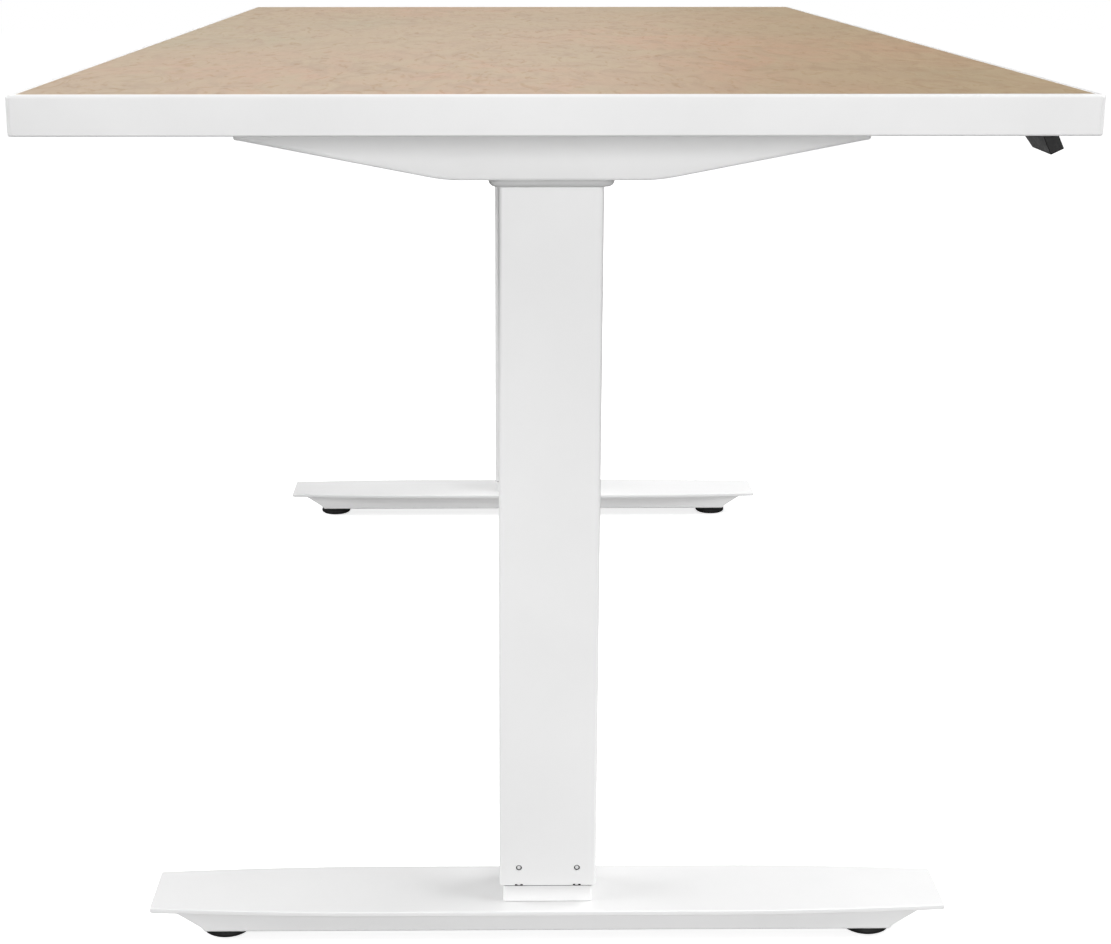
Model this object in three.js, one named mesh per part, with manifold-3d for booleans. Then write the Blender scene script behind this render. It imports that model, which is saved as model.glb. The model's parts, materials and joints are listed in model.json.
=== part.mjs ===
// Height adjustable standing desk: laminate top on two motor-driven two-stage columns.
// Millimetres. +X runs along the desk to the user's right, -Y is the user's side, +Z is up,
// and the origin is on the floor under the middle of the top. Shown at its lowest height.
import * as THREE from "three";
import { mergeVertices } from "three/addons/utils/BufferGeometryUtils.js";
import Module from "manifold-3d";

const wasm = await Module();
wasm.setup();

// Driving dimensions
const GAP = 0.3; // clearance between pieces that touch
const TOP_LENGTH = 1524;
const TOP_DEPTH = 762;
const TOP_THICK = 28.6;
const TOP_HEIGHT = 707;
const BAND_WIDTH = 6;
const BAND_ARRIS = 2.5;
const BACKER_THICK = 1;
const LEG_X = 624; // column axis from the middle of the desk

const ARM = { halfWidth: 48, tipY: 236, flatY: 80, tipDrop: 11.4, drop: 41.8, wall: 2.5 };
const ARM_CREASE = { rise: 16, lean: 3 };
const ARM_TAB = { start: 190, screwY: 204, screwHole: 2.6, accessHole: 7.5 };
const NECK = { hole: 15, radius: 13, length: 25.7, x: 42, rise: 6 }; // gearbox neck through the arm
const SHAFT_HOLE = 12; // radius, through the arm's floor and the cap
const CAP = { x: 70, y: 95, thick: 6.3, corner: 9, arris: 4.4 };

const OUTER = { x: 54, y: 80, wall: 1.5, corner: 3.2, bottom: 51 };
const INNER = { x: 48.4, y: 74.4, wall: 1.8, corner: 3, top: 600 };
const CLIP = { y: 24, rise: 16, radius: 2.5, notchWidth: 6.6, notchRise: 1.2 };
const GLIDE = { thick: 0.7, lowerRise: 2.5, lowerEnd: 37, upperDrop: 48, upperEnd: 3 };
const SCREW = { radius: 8, bottom: 105, top: 659.7 };
const NUT = { drop: 30, topDrop: 2 };

const FOOT = { half: 330, midHalf: 150, midWidth: 84, tipWidth: 67, top: 35, thick: 4.5 };
const BEAM = { half: 32, bottom: 12.2, wall: 2.5, bottomEnd: 286, lip: 3.6, lipEnd: 288, topEnd: 310 };
const BASE_PLATE_THICK = 6;
const PAD = { radius: 20.5, y: 270.5, height: 11.9, bore: 6 };
const STUD = { radius: 4, length: 22 };
const BOLT = { y: 26, length: 34, head: 6.5, headHeight: 5, socket: 3, socketDepth: 3 };

const RAIL = { y: 62, width: 24, top: 671, height: 30, wall: 2, outerEnd: 110, innerEnd: 330 };
const GEARBOX = { x: 30, y: 28 };
const MOTOR = { radius: 26, length: 110, z: 649, standOff: 7.2 };
const BOX = { x: 90, y: 150, sizeX: 260, sizeY: 100, sizeZ: 38, corner: 6, arris: 2 };
const INLET = { halfY: 14, halfZ: 11, depth: 16, mouthY: 11, mouthZ: 8, mouthDepth: 12 };
const PORT = { halfY: 6, low: 4, high: 6, depth: 12 };
const PADDLE = { x: -637, length: 62, thick: 10.8, drop: 16.8, lean: 25.5, y: -368.5, z: 672.4 };
const PADDLE_CHAMFER = { x: 10, z: 8 }; // the lower corner at the inner end
const PADDLE_PIN = { radius: 1.6, bore: 1.9, overhang: 4 };
const BRACKET = { ear: 3.5, side: 0.5, thick: 3.5, earDrop: 3.6, front: 5, earBack: 16, back: 40 };
const LEAD_RADIUS = 2.5;

const UNDERSIDE = TOP_HEIGHT - TOP_THICK;
const ARM_TOP = UNDERSIDE - GAP;
const ARM_BOTTOM = UNDERSIDE - ARM.drop;
const CAP_TOP = ARM_BOTTOM - GAP;
const CAP_BOTTOM = CAP_TOP - CAP.thick;
const OUTER_TOP = CAP_BOTTOM - GAP;
const INNER_BOTTOM = FOOT.top + GAP;
const MOTOR_FACE = ARM.halfWidth + MOTOR.standOff; // from the column axis
const BOX_Z = ARM_TOP - BOX.sizeZ / 2;
const LEAD_Y = { handset: BOX.y - 20, left: BOX.y + 20, right: BOX.y + 30 };
const SIDES = [
  { name: "left", sign: -1 },
  { name: "right", sign: 1 },
];

// Finishes
const finish = (color, roughness, metalness = 0) => ({ color, roughness, metalness });
const WOOD = finish(0xc4af9b, 0.5);
const BACKER = finish(0xd6d6d4, 0.6);
const BAND = finish(0xe8e8e8, 0.4);
const WHITE_COAT = finish(0xe6e6e6, 0.45, 0.1);
const GREY_CAP = finish(0xc4c4c4, 0.5, 0.1);
const BLACK = finish(0x232323, 0.55);
const RUBBER = finish(0x121212, 0.85);
const STEEL = finish(0x9a9c9f, 0.35, 0.9);
const BRASS = finish(0xb79a55, 0.4, 0.8);
const NYLON = finish(0xd9d7cf, 0.6);
const CAST = finish(0x6d6f72, 0.6, 0.6);

const desk = new THREE.Group();

function addPiece(name, geometry, look) {
  const mesh = new THREE.Mesh(geometry, new THREE.MeshStandardMaterial(look));
  mesh.name = name;
  desk.add(mesh);
}

// Booleans
function toSolid(geometry) {
  const bare = geometry.index ? geometry.toNonIndexed() : geometry.clone();
  bare.deleteAttribute("normal");
  bare.deleteAttribute("uv");
  const merged = mergeVertices(bare, 1e-4);
  return new wasm.Manifold(
    new wasm.Mesh({
      numProp: 3,
      vertProperties: new Float32Array(merged.attributes.position.array),
      triVerts: new Uint32Array(merged.index.array),
    }),
  );
}

function toGeometry(solid) {
  const mesh = solid.getMesh();
  const geometry = new THREE.BufferGeometry();
  geometry.setAttribute("position", new THREE.BufferAttribute(mesh.vertProperties, 3));
  geometry.setIndex(new THREE.BufferAttribute(mesh.triVerts, 1));
  const flat = geometry.toNonIndexed();
  flat.computeVertexNormals();
  return flat;
}

const cut = (solid, ...tools) =>
  toGeometry(tools.reduce((rest, tool) => rest.subtract(toSolid(tool)), toSolid(solid)));
const join = (...pieces) =>
  toGeometry(pieces.slice(1).reduce((sum, piece) => sum.add(toSolid(piece)), toSolid(pieces[0])));

// Basic shapes, each placed in the desk's frame
function block([x0, x1], [y0, y1], [z0, z1]) {
  const box = new THREE.BoxGeometry(x1 - x0, y1 - y0, z1 - z0);
  return box.translate((x0 + x1) / 2, (y0 + y1) / 2, (z0 + z1) / 2);
}

function rod(axis, radius, length, [x, y, z], sides = 24) {
  const cylinder = new THREE.CylinderGeometry(radius, radius, length, sides);
  if (axis === "x") cylinder.rotateZ(Math.PI / 2);
  if (axis === "z") cylinder.rotateX(Math.PI / 2);
  return cylinder.translate(x, y, z);
}

function roundedRectangle(width, depth, radius) {
  const [w, d, shape] = [width / 2, depth / 2, new THREE.Shape()];
  shape.moveTo(-w + radius, -d);
  shape.lineTo(w - radius, -d);
  shape.absarc(w - radius, -d + radius, radius, -Math.PI / 2, 0);
  shape.lineTo(w, d - radius);
  shape.absarc(w - radius, d - radius, radius, 0, Math.PI / 2);
  shape.lineTo(-w + radius, d);
  shape.absarc(-w + radius, d - radius, radius, Math.PI / 2, Math.PI);
  shape.lineTo(-w, -d + radius);
  shape.absarc(-w + radius, -d + radius, radius, Math.PI, 1.5 * Math.PI);
  return shape;
}

// A vertical prism on a plan outline, from z0 to z1
function prism(shape, z0, z1, curveSegments = 4) {
  const options = { depth: z1 - z0, bevelEnabled: false, curveSegments };
  return new THREE.ExtrudeGeometry(shape, options).translate(0, 0, z0);
}

// The same with its top and bottom edges rounded by arris
function softPrism(width, depth, corner, arris, z0, z1, steps) {
  const shape = roundedRectangle(width - 2 * arris, depth - 2 * arris, corner - arris);
  const options = {
    depth: z1 - z0 - 2 * arris,
    bevelThickness: arris,
    bevelSize: arris,
    bevelSegments: steps,
    curveSegments: 3,
  };
  return new THREE.ExtrudeGeometry(shape, options).translate(0, 0, z0 + arris);
}

// A rectangular tube standing between z0 and z1
function tube(width, depth, wall, corner, z0, z1) {
  const shape = roundedRectangle(width, depth, corner);
  const inside = roundedRectangle(width - 2 * wall, depth - 2 * wall, Math.max(corner - wall, 0.8));
  shape.holes.push(inside);
  return prism(shape, z0, z1, 3);
}

// A block that fills the narrow tube's bore between z0 and z1
function tubePlug(z0, z1) {
  const shrink = 2 * (INNER.wall + GAP);
  return prism(roundedRectangle(INNER.x - shrink, INNER.y - shrink, INNER.corner), z0, z1);
}

function polygon(points) {
  return new THREE.Shape(points.map(([a, b]) => new THREE.Vector2(a, b)));
}

// A (y, z) outline extruded along X between x0 and x1
function alongX(points, x0, x1) {
  const options = { depth: x1 - x0, bevelEnabled: false };
  const turned = new THREE.ExtrudeGeometry(polygon(points), options);
  turned.rotateY(Math.PI / 2).rotateX(Math.PI / 2);
  return turned.translate(x0, 0, 0);
}

// An (x, z) outline extruded along Y between y0 and y1
function alongY(points, y0, y1) {
  const options = { depth: y1 - y0, bevelEnabled: false };
  return new THREE.ExtrudeGeometry(polygon(points), options).rotateX(Math.PI / 2).translate(0, y1, 0);
}

function cable(points, radius, steps) {
  const route = new THREE.CatmullRomCurve3(points.map((p) => new THREE.Vector3(...p)));
  const section = new THREE.Shape().absarc(0, 0, radius, 0, 2 * Math.PI);
  const options = { steps, extrudePath: route, curveSegments: 4, bevelEnabled: false };
  return new THREE.ExtrudeGeometry(section, options);
}

// Top: wood-look panel on a balancing backer sheet, inside a white edge band
function addDesktop() {
  const inset = BAND_WIDTH + GAP;
  const [x, y] = [TOP_LENGTH / 2 - inset, TOP_DEPTH / 2 - inset];
  const backerTop = UNDERSIDE + BACKER_THICK;
  addPiece("desktop_panel", block([-x, x], [-y, y], [backerTop + GAP, TOP_HEIGHT - 0.1]), WOOD);
  addPiece("desktop_backer", block([-x, x], [-y, y], [UNDERSIDE, backerTop]), BACKER);
  const slab = softPrism(TOP_LENGTH, TOP_DEPTH, 4, BAND_ARRIS, UNDERSIDE, TOP_HEIGHT, 2);
  const [bx, by] = [x + GAP, y + GAP];
  const window = block([-bx, bx], [-by, by], [UNDERSIDE - 5, TOP_HEIGHT + 5]);
  addPiece("edge_band", cut(slab, window), BAND);
}

// Side arm: a folded tray, open to the top's underside, that tapers to blunt tips
function armBody(shrink) {
  const halfWidth = ARM.halfWidth - shrink;
  const [top, bottom] = [ARM_TOP + (shrink ? 5 : 0), ARM_BOTTOM + shrink];
  const [tip, flat] = [ARM.tipY - shrink, ARM.flatY];
  const tipZ = UNDERSIDE - ARM.tipDrop + shrink;
  const side = [
    [-tip, top],
    [-tip, tipZ],
    [-flat, bottom],
    [flat, bottom],
    [tip, tipZ],
    [tip, top],
  ];
  const crease = ARM_BOTTOM + ARM_CREASE.rise;
  const low = halfWidth - ARM_CREASE.lean;
  const end = [
    [-low, bottom - 0.01],
    [low, bottom - 0.01],
    [halfWidth, crease],
    [halfWidth, top + 1],
    [-halfWidth, top + 1],
    [-halfWidth, crease],
  ];
  const across = toSolid(alongX(side, -halfWidth, halfWidth));
  return across.intersect(toSolid(alongY(end, -ARM.tipY - 1, ARM.tipY + 1)));
}

function addArm({ name, sign }) {
  const inwards = -sign * ARM.halfWidth;
  const neckHole = rod("x", NECK.hole, 30, [inwards, 0, MOTOR.z + NECK.rise]);
  const shaftHole = rod("z", SHAFT_HOLE, 4 * ARM.wall, [0, 0, ARM_BOTTOM], 20);
  const [inside, tipEnd] = [ARM.halfWidth - 1, ARM.tipY - 1];
  let tray = armBody(0).subtract(armBody(ARM.wall));
  for (const way of [-1, 1]) {
    const span = [way * tipEnd, way * ARM_TAB.start].sort((a, b) => a - b);
    const tab = block([-inside, inside], span, [ARM_TOP - ARM.wall, ARM_TOP]);
    const screwHole = rod("z", ARM_TAB.screwHole, 20, [0, way * ARM_TAB.screwY, ARM_TOP], 16);
    const accessHole = rod("z", ARM_TAB.accessHole, 20, [0, way * ARM_TAB.screwY, ARM_TOP - 13.5], 20);
    tray = tray.add(toSolid(tab)).subtract(toSolid(screwHole)).subtract(toSolid(accessHole));
  }
  const open = tray.subtract(toSolid(neckHole)).subtract(toSolid(shaftHole));
  addPiece(`side_arm_${name}`, toGeometry(open).translate(sign * LEG_X, 0, 0), WHITE_COAT);
}

function addCap({ name, sign }) {
  const plate = softPrism(CAP.x, CAP.y, CAP.corner, CAP.arris, CAP_BOTTOM, CAP_TOP + CAP.arris, 3);
  const trim = block([-100, 100], [-100, 100], [CAP_TOP, CAP_TOP + 20]);
  const shaftHole = rod("z", SHAFT_HOLE, 30, [0, 0, CAP_TOP], 20);
  addPiece(`column_cap_${name}`, cut(plate, trim, shaftHole).translate(sign * LEG_X, 0, 0), GREY_CAP);
}

// Crossbar: front and back rails that telescope to suit the top's length, then lock
function addRails() {
  const { y, width, top, height, wall } = RAIL;
  const armFace = LEG_X - ARM.halfWidth - GAP;
  const hollow = (w, h, t, x0, x1, cy) =>
    cut(
      block([x0, x1], [cy - w / 2, cy + w / 2], [top - height / 2 - h / 2, top - height / 2 + h / 2]),
      block(
        [x0 - 5, x1 + 5],
        [cy - w / 2 + t, cy + w / 2 - t],
        [top - height / 2 - h / 2 + t, top - height / 2 + h / 2 - t],
      ),
    );
  const fit = 2 * wall + 2 * GAP;
  for (const row of [
    { name: "front", cy: -y },
    { name: "rear", cy: y },
  ]) {
    const left = hollow(width, height, wall, -armFace, -RAIL.outerEnd, row.cy);
    const right = hollow(width, height, wall, RAIL.outerEnd, armFace, row.cy);
    const middle = hollow(width - fit, height - fit, wall, -RAIL.innerEnd, RAIL.innerEnd, row.cy);
    addPiece(`${row.name}_rail_left`, left, WHITE_COAT);
    addPiece(`${row.name}_rail_right`, right, WHITE_COAT);
    addPiece(`${row.name}_rail_inner`, middle, STEEL);
  }
}

// Columns: the wide tube hangs from the arm and slides over the narrow one on the foot
function addColumn({ name, sign }) {
  const place = (geometry) => geometry.translate(sign * LEG_X, 0, 0);
  const shell = tube(OUTER.x, OUTER.y, OUTER.wall, OUTER.corner, OUTER.bottom, OUTER_TOP);
  const acrossX = [-OUTER.x, OUTER.x];
  const half = CLIP.notchWidth / 2;
  const clips = [-CLIP.y, CLIP.y].flatMap((y) => [
    rod("x", CLIP.radius, 2 * OUTER.x, [0, y, OUTER.bottom + CLIP.rise], 12),
    block(acrossX, [y - half, y + half], [OUTER.bottom - 5, OUTER.bottom + CLIP.notchRise]),
  ]);
  addPiece(`outer_tube_${name}`, place(cut(shell, ...clips)), WHITE_COAT);
  const stem = tube(INNER.x, INNER.y, INNER.wall, INNER.corner, INNER_BOTTOM, INNER.top);
  addPiece(`inner_tube_${name}`, place(stem), WHITE_COAT);
  const room = GAP + GLIDE.thick;
  const bush = (z0, z1) =>
    tube(INNER.x + 2 * room, INNER.y + 2 * room, GLIDE.thick, INNER.corner + room, z0, z1);
  const lower = bush(OUTER.bottom + GLIDE.lowerRise, OUTER.bottom + GLIDE.lowerEnd);
  addPiece(`outer_glide_${name}`, place(lower), NYLON);
  const upper = bush(INNER.top - GLIDE.upperDrop, INNER.top - GLIDE.upperEnd);
  addPiece(`inner_glide_${name}`, place(upper), NYLON);
}

// Drive: motor and gearbox in the arm turn a screw, and the nut on the inner tube climbs it
function addDrive({ name, sign }) {
  const place = (geometry) => geometry.translate(sign * LEG_X, 0, 0);
  const low = ARM_BOTTOM + ARM.wall + GAP;
  const housing = block([-GEARBOX.x, GEARBOX.x], [-GEARBOX.y, GEARBOX.y], [low, ARM_TOP - 2]);
  const neck = rod("x", NECK.radius, NECK.length, [-sign * NECK.x, 0, MOTOR.z + NECK.rise]);
  const wayIn = SCREW.top + GAP - low; // how far the screw's end goes into the gearbox
  const pocket = rod("z", SCREW.radius + GAP, 2 * wayIn, [0, 0, low], 20);
  addPiece(`gearbox_${name}`, place(cut(join(housing, neck), pocket)), CAST);
  const profile = [
    [0, 0],
    [MOTOR.radius - 2, 0],
    [MOTOR.radius, 2],
    [MOTOR.radius, MOTOR.length - 8],
    [MOTOR.radius - 6, MOTOR.length - 2],
    [9, MOTOR.length],
    [0, MOTOR.length],
  ].map(([r, h]) => new THREE.Vector2(r, h));
  const can = new THREE.LatheGeometry(profile, 24).rotateZ((sign * Math.PI) / 2);
  addPiece(`motor_${name}`, place(can.translate(-sign * MOTOR_FACE, 0, MOTOR.z)), BLACK);
  const screwLength = SCREW.top - SCREW.bottom;
  const screw = rod("z", SCREW.radius, screwLength, [0, 0, SCREW.bottom + screwLength / 2], 20);
  addPiece(`lead_screw_${name}`, place(screw), STEEL);
  const nut = tubePlug(INNER.top - NUT.drop, INNER.top - NUT.topDrop);
  const thread = rod("z", SCREW.radius + GAP, 80, [0, 0, INNER.top], 20);
  addPiece(`spindle_nut_${name}`, place(cut(nut, thread)), BRASS);
}

// Foot: a thin cover plate that narrows to its ends, on a straight beam with slanted ends
function footOutline() {
  const [mid, tip, end] = [FOOT.midWidth / 2, FOOT.tipWidth / 2, FOOT.half];
  const [midPull, tipPull] = [FOOT.midHalf + 70, end - 60];
  const shape = new THREE.Shape();
  shape.moveTo(mid, -FOOT.midHalf);
  shape.lineTo(mid, FOOT.midHalf);
  shape.bezierCurveTo(mid, midPull, tip + 4, tipPull, tip, end);
  shape.lineTo(-tip, end);
  shape.bezierCurveTo(-tip - 4, tipPull, -mid, midPull, -mid, FOOT.midHalf);
  shape.lineTo(-mid, -FOOT.midHalf);
  shape.bezierCurveTo(-mid, -midPull, -tip - 4, -tipPull, -tip, -end);
  shape.lineTo(tip, -end);
  shape.bezierCurveTo(tip + 4, -tipPull, mid, -midPull, mid, -FOOT.midHalf);
  return shape;
}

function beamBody(shrink, top) {
  const bottom = BEAM.bottom + shrink;
  const half = BEAM.half - shrink;
  const end = (reach, z) => [
    [-(reach - shrink), z],
    [reach - shrink, z],
  ];
  const [lowBack, lowFront] = end(BEAM.bottomEnd, bottom);
  const [lipBack, lipFront] = end(BEAM.lipEnd, bottom + BEAM.lip);
  const [topBack, topFront] = end(BEAM.topEnd, top);
  const side = [topBack, lipBack, lowBack, lowFront, lipFront, topFront];
  return toSolid(alongX(side, -half, half));
}

function addFoot({ name, sign }) {
  const place = (geometry) => geometry.translate(sign * LEG_X, 0, 0);
  const clear = STUD.radius + GAP;
  const [boltWays, studWays] = [BOLT.y, PAD.y].map((reach) =>
    [-reach, reach].map((y) => rod("z", clear, 60, [0, y, 25], 16)),
  );
  const coverBottom = FOOT.top - FOOT.thick;
  const cover = prism(footOutline(), coverBottom, FOOT.top, 6);
  addPiece(`foot_cover_${name}`, place(cut(cover, ...boltWays)), WHITE_COAT);
  const beamTop = coverBottom - GAP;
  const tray = beamBody(0, beamTop).subtract(beamBody(BEAM.wall, beamTop + 10));
  const drilled = [...boltWays, ...studWays].reduce((rest, way) => rest.subtract(toSolid(way)), tray);
  addPiece(`foot_beam_${name}`, place(toGeometry(drilled)), WHITE_COAT);
  const base = tubePlug(INNER_BOTTOM, INNER_BOTTOM + BASE_PLATE_THICK);
  addPiece(`column_base_plate_${name}`, place(cut(base, ...boltWays)), STEEL);
  const headTop = BEAM.bottom - GAP;
  for (const [row, y] of [
    ["front", -BOLT.y],
    ["rear", BOLT.y],
  ]) {
    const at = (z) => [sign * LEG_X, y, z];
    const shank = rod("z", STUD.radius, BOLT.length, at(headTop - 1 + BOLT.length / 2), 16);
    const head = rod("z", BOLT.head, BOLT.headHeight, at(headTop - BOLT.headHeight / 2), 16);
    const socket = rod("z", BOLT.socket, 2 * BOLT.socketDepth, at(headTop - BOLT.headHeight), 6);
    addPiece(`foot_bolt_${row}_${name}`, cut(join(shank, head), socket), STEEL);
  }
}

// Levelling feet: a domed pad on a threaded stud
function addLevelers({ name, sign }) {
  const { radius, height, bore } = PAD;
  const profile = [
    [0, 0],
    [radius - 3, 0],
    [radius - 0.8, 0.8],
    [radius, 3],
    [radius - 1, 6],
    [radius - 5, 9.4],
    [radius - 10, height - 0.6],
    [radius - 13, height],
    [STUD.radius + GAP, height],
    [STUD.radius + GAP, bore],
    [0, bore],
  ].map(([r, h]) => new THREE.Vector2(r, h));
  for (const [row, y] of [
    ["front", -PAD.y],
    ["rear", PAD.y],
  ]) {
    const pad = new THREE.LatheGeometry(profile, 20).rotateX(Math.PI / 2);
    addPiece(`leveler_pad_${row}_${name}`, pad.translate(sign * LEG_X, y, 0), RUBBER);
    const middle = bore + GAP + STUD.length / 2;
    const stud = rod("z", STUD.radius, STUD.length, [sign * LEG_X, y, middle], 16);
    addPiece(`leveler_stud_${row}_${name}`, stud, STEEL);
  }
}

// Control box and its mains inlet, behind the rear rail
function addControlBox() {
  const [start, end] = [BOX.x - BOX.sizeX / 2, BOX.x + BOX.sizeX / 2];
  const shell = softPrism(BOX.sizeX, BOX.sizeY, BOX.corner, BOX.arris, ARM_TOP - BOX.sizeZ, ARM_TOP, 1);
  shell.translate(BOX.x, BOX.y, 0);
  const opening = (x0, x1, halfY, low, high, y = BOX.y) =>
    block([x0, x1], [y - halfY, y + halfY], [BOX_Z - low, BOX_Z + high]);
  const port = (x0, x1, y) => opening(x0, x1, PORT.halfY, PORT.low, PORT.high, y);
  const recess = opening(end - INLET.depth, end + 5, INLET.halfY, INLET.halfZ, INLET.halfZ);
  const handsetPort = port(start - 5, start + PORT.depth, LEAD_Y.handset);
  const leftPort = port(start - 5, start + PORT.depth, LEAD_Y.left);
  const rightPort = port(end - PORT.depth, end + 5, LEAD_Y.right);
  addPiece("control_box", cut(shell, recess, handsetPort, leftPort, rightPort), BLACK);
  const [socketY, socketZ] = [INLET.halfY - GAP, INLET.halfZ - GAP];
  const socket = opening(end - INLET.depth + GAP, end - 0.5, socketY, socketZ, socketZ);
  const mouth = opening(end - INLET.mouthDepth, end + 1, INLET.mouthY, INLET.mouthZ, INLET.mouthZ);
  addPiece("power_inlet", cut(socket, mouth), BLACK);
}

// Control paddle on its pin: tilting it up or down drives the desk
function addPaddle() {
  const { x, y, z, length, thick, drop, lean } = PADDLE;
  const [x0, x1] = [x - length / 2, x + length / 2];
  const face = [
    [x0, -drop],
    [x1 - PADDLE_CHAMFER.x, -drop],
    [x1, PADDLE_CHAMFER.z - drop],
    [x1, 0],
    [x0, 0],
  ];
  const bar = alongY(face, -thick / 2, thick / 2);
  const hub = rod("x", thick / 2, length, [x, 0, 0], 20);
  const bore = rod("x", PADDLE_PIN.bore, length + 10, [x, 0, 0], 12);
  const paddle = cut(join(bar, hub), bore);
  addPiece("control_paddle", paddle.rotateX((-lean * Math.PI) / 180).translate(0, y, z), BLACK);
  const outer = BRACKET.side + BRACKET.ear;
  const ear = (a, b) =>
    block([a, b], [y - BRACKET.front, y + BRACKET.earBack], [z - BRACKET.earDrop, ARM_TOP]);
  const plateZ = [ARM_TOP - BRACKET.thick, ARM_TOP];
  const plate = block([x0 - outer, x1 + outer], [y + 8, y + BRACKET.back], plateZ);
  const ears = [ear(x0 - outer, x0 - BRACKET.side), ear(x1 + BRACKET.side, x1 + outer)];
  const pinWay = rod("x", PADDLE_PIN.bore, length + 30, [x, y, z], 12);
  addPiece("paddle_bracket", cut(join(plate, ...ears), pinWay), BLACK);
  const pin = rod("x", PADDLE_PIN.radius, length + 2 * PADDLE_PIN.overhang, [x, y, z], 12);
  addPiece("paddle_pin", pin, STEEL);
}

// Leads, held under the top all the way
function addLeads() {
  const z = UNDERSIDE - LEAD_RADIUS - 3 * GAP;
  const motorEnd = LEG_X - MOTOR_FACE - MOTOR.length - GAP;
  const leftEnd = BOX.x - BOX.sizeX / 2 + PORT.depth - GAP;
  const rightEnd = BOX.x + BOX.sizeX / 2 - PORT.depth + GAP;
  const plugZ = BOX_Z + 1;
  const left = [
    [-motorEnd, 0, MOTOR.z],
    [-motorEnd + 25, 0, MOTOR.z + 3],
    [-motorEnd + 55, 8, z - 8],
    [-motorEnd + 80, 30, z],
    [-motorEnd + 95, 70, z],
    [-motorEnd + 115, 125, z],
    [-250, LEAD_Y.left, z],
    [-120, LEAD_Y.left, z - 3],
    [-75, LEAD_Y.left, plugZ + 1],
    [leftEnd, LEAD_Y.left, plugZ],
  ];
  const right = [
    [motorEnd, 0, MOTOR.z],
    [motorEnd - 25, 0, MOTOR.z + 3],
    [motorEnd - 55, 8, z - 8],
    [motorEnd - 80, 30, z],
    [motorEnd - 95, 80, z],
    [motorEnd - 115, 150, z - 1],
    [motorEnd - 150, LEAD_Y.right, z - 8],
    [rightEnd + 45, LEAD_Y.right, plugZ + 2],
    [rightEnd, LEAD_Y.right, plugZ],
  ];
  const handset = [
    [PADDLE.x, PADDLE.y + BRACKET.back + GAP, z],
    [PADDLE.x, PADDLE.y + 55, z],
    [PADDLE.x + 22, PADDLE.y + 78, z],
    [PADDLE.x + 90, PADDLE.y + 96, z],
    [-400, -240, z],
    [-260, -140, z],
    [-190, -60, z],
    [-170, 20, z],
    [-160, 90, z - 2],
    [-130, LEAD_Y.handset - 5, z - 6],
    [-80, LEAD_Y.handset, plugZ + 1],
    [leftEnd, LEAD_Y.handset, plugZ],
  ];
  addPiece("motor_cable_left", cable(left, LEAD_RADIUS, 26), BLACK);
  addPiece("motor_cable_right", cable(right, LEAD_RADIUS, 24), BLACK);
  addPiece("handset_cable", cable(handset, LEAD_RADIUS - 0.6, 38), BLACK);
}

// Wood screws that hold each arm's tips to the top
function addArmScrews({ name, sign }) {
  for (const [row, way] of [
    ["front", -1],
    ["rear", 1],
  ]) {
    const at = (drop) => [sign * LEG_X, way * ARM_TAB.screwY, ARM_TOP - drop];
    const head = rod("z", 5, 3, at(ARM.wall + 1.8), 16);
    const shank = rod("z", 2.2, 4, at(2.2), 12);
    addPiece(`arm_screw_${row}_${name}`, join(head, shank), STEEL);
  }
}

addDesktop();
addRails();
for (const side of SIDES) {
  addArm(side);
  addCap(side);
  addColumn(side);
  addDrive(side);
  addFoot(side);
  addLevelers(side);
  addArmScrews(side);
}
addControlBox();
addPaddle();
addLeads();

export default desk;
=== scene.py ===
"""Height adjustable standing desk: looks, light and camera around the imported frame."""
import json
import math

import bmesh
import bpy
from mathutils import Matrix, Vector


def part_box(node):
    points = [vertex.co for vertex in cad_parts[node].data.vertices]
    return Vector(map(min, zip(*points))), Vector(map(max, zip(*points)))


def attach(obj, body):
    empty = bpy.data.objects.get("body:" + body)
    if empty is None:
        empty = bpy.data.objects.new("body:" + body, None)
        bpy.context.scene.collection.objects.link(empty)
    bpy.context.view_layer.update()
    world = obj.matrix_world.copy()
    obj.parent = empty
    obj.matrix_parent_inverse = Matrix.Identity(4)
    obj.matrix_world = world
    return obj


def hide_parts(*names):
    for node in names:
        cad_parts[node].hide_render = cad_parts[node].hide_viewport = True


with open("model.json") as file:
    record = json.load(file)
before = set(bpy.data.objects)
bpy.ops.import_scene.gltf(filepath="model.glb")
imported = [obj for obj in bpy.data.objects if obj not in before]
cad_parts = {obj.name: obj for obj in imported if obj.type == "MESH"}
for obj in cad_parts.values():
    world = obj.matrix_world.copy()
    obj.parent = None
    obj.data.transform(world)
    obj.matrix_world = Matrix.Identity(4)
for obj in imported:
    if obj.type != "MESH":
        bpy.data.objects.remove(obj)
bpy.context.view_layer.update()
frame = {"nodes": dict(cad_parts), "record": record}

MM = 0.001
TOP_BODY = "desk_top"
SIDES = (("left", -1), ("right", 1))
ROWS = (("front", -1), ("rear", 1))


# ---------------------------------------------------------------- camera and stage
CAMERA_PLACE = (-2.16274, 0.04618, 0.8207)
CAMERA_PITCH, CAMERA_YAW = math.radians(15.31), math.radians(0.57)  # down, and towards the user's side
CAMERA_LENS, CAMERA_SHIFT = 64.87, 0.0407
FLOOR_HALF, FLOOR_DROP = 14, 0.0005
FLOOR_BOUNCE, FLOOR_GLOW = 0.26, 0.72
WORLD_STRENGTH = (0.42, 0.2)  # from the user's side, and from behind
RANGE_INPUTS = ("From Min", "From Max", "To Min", "To Max")


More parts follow.
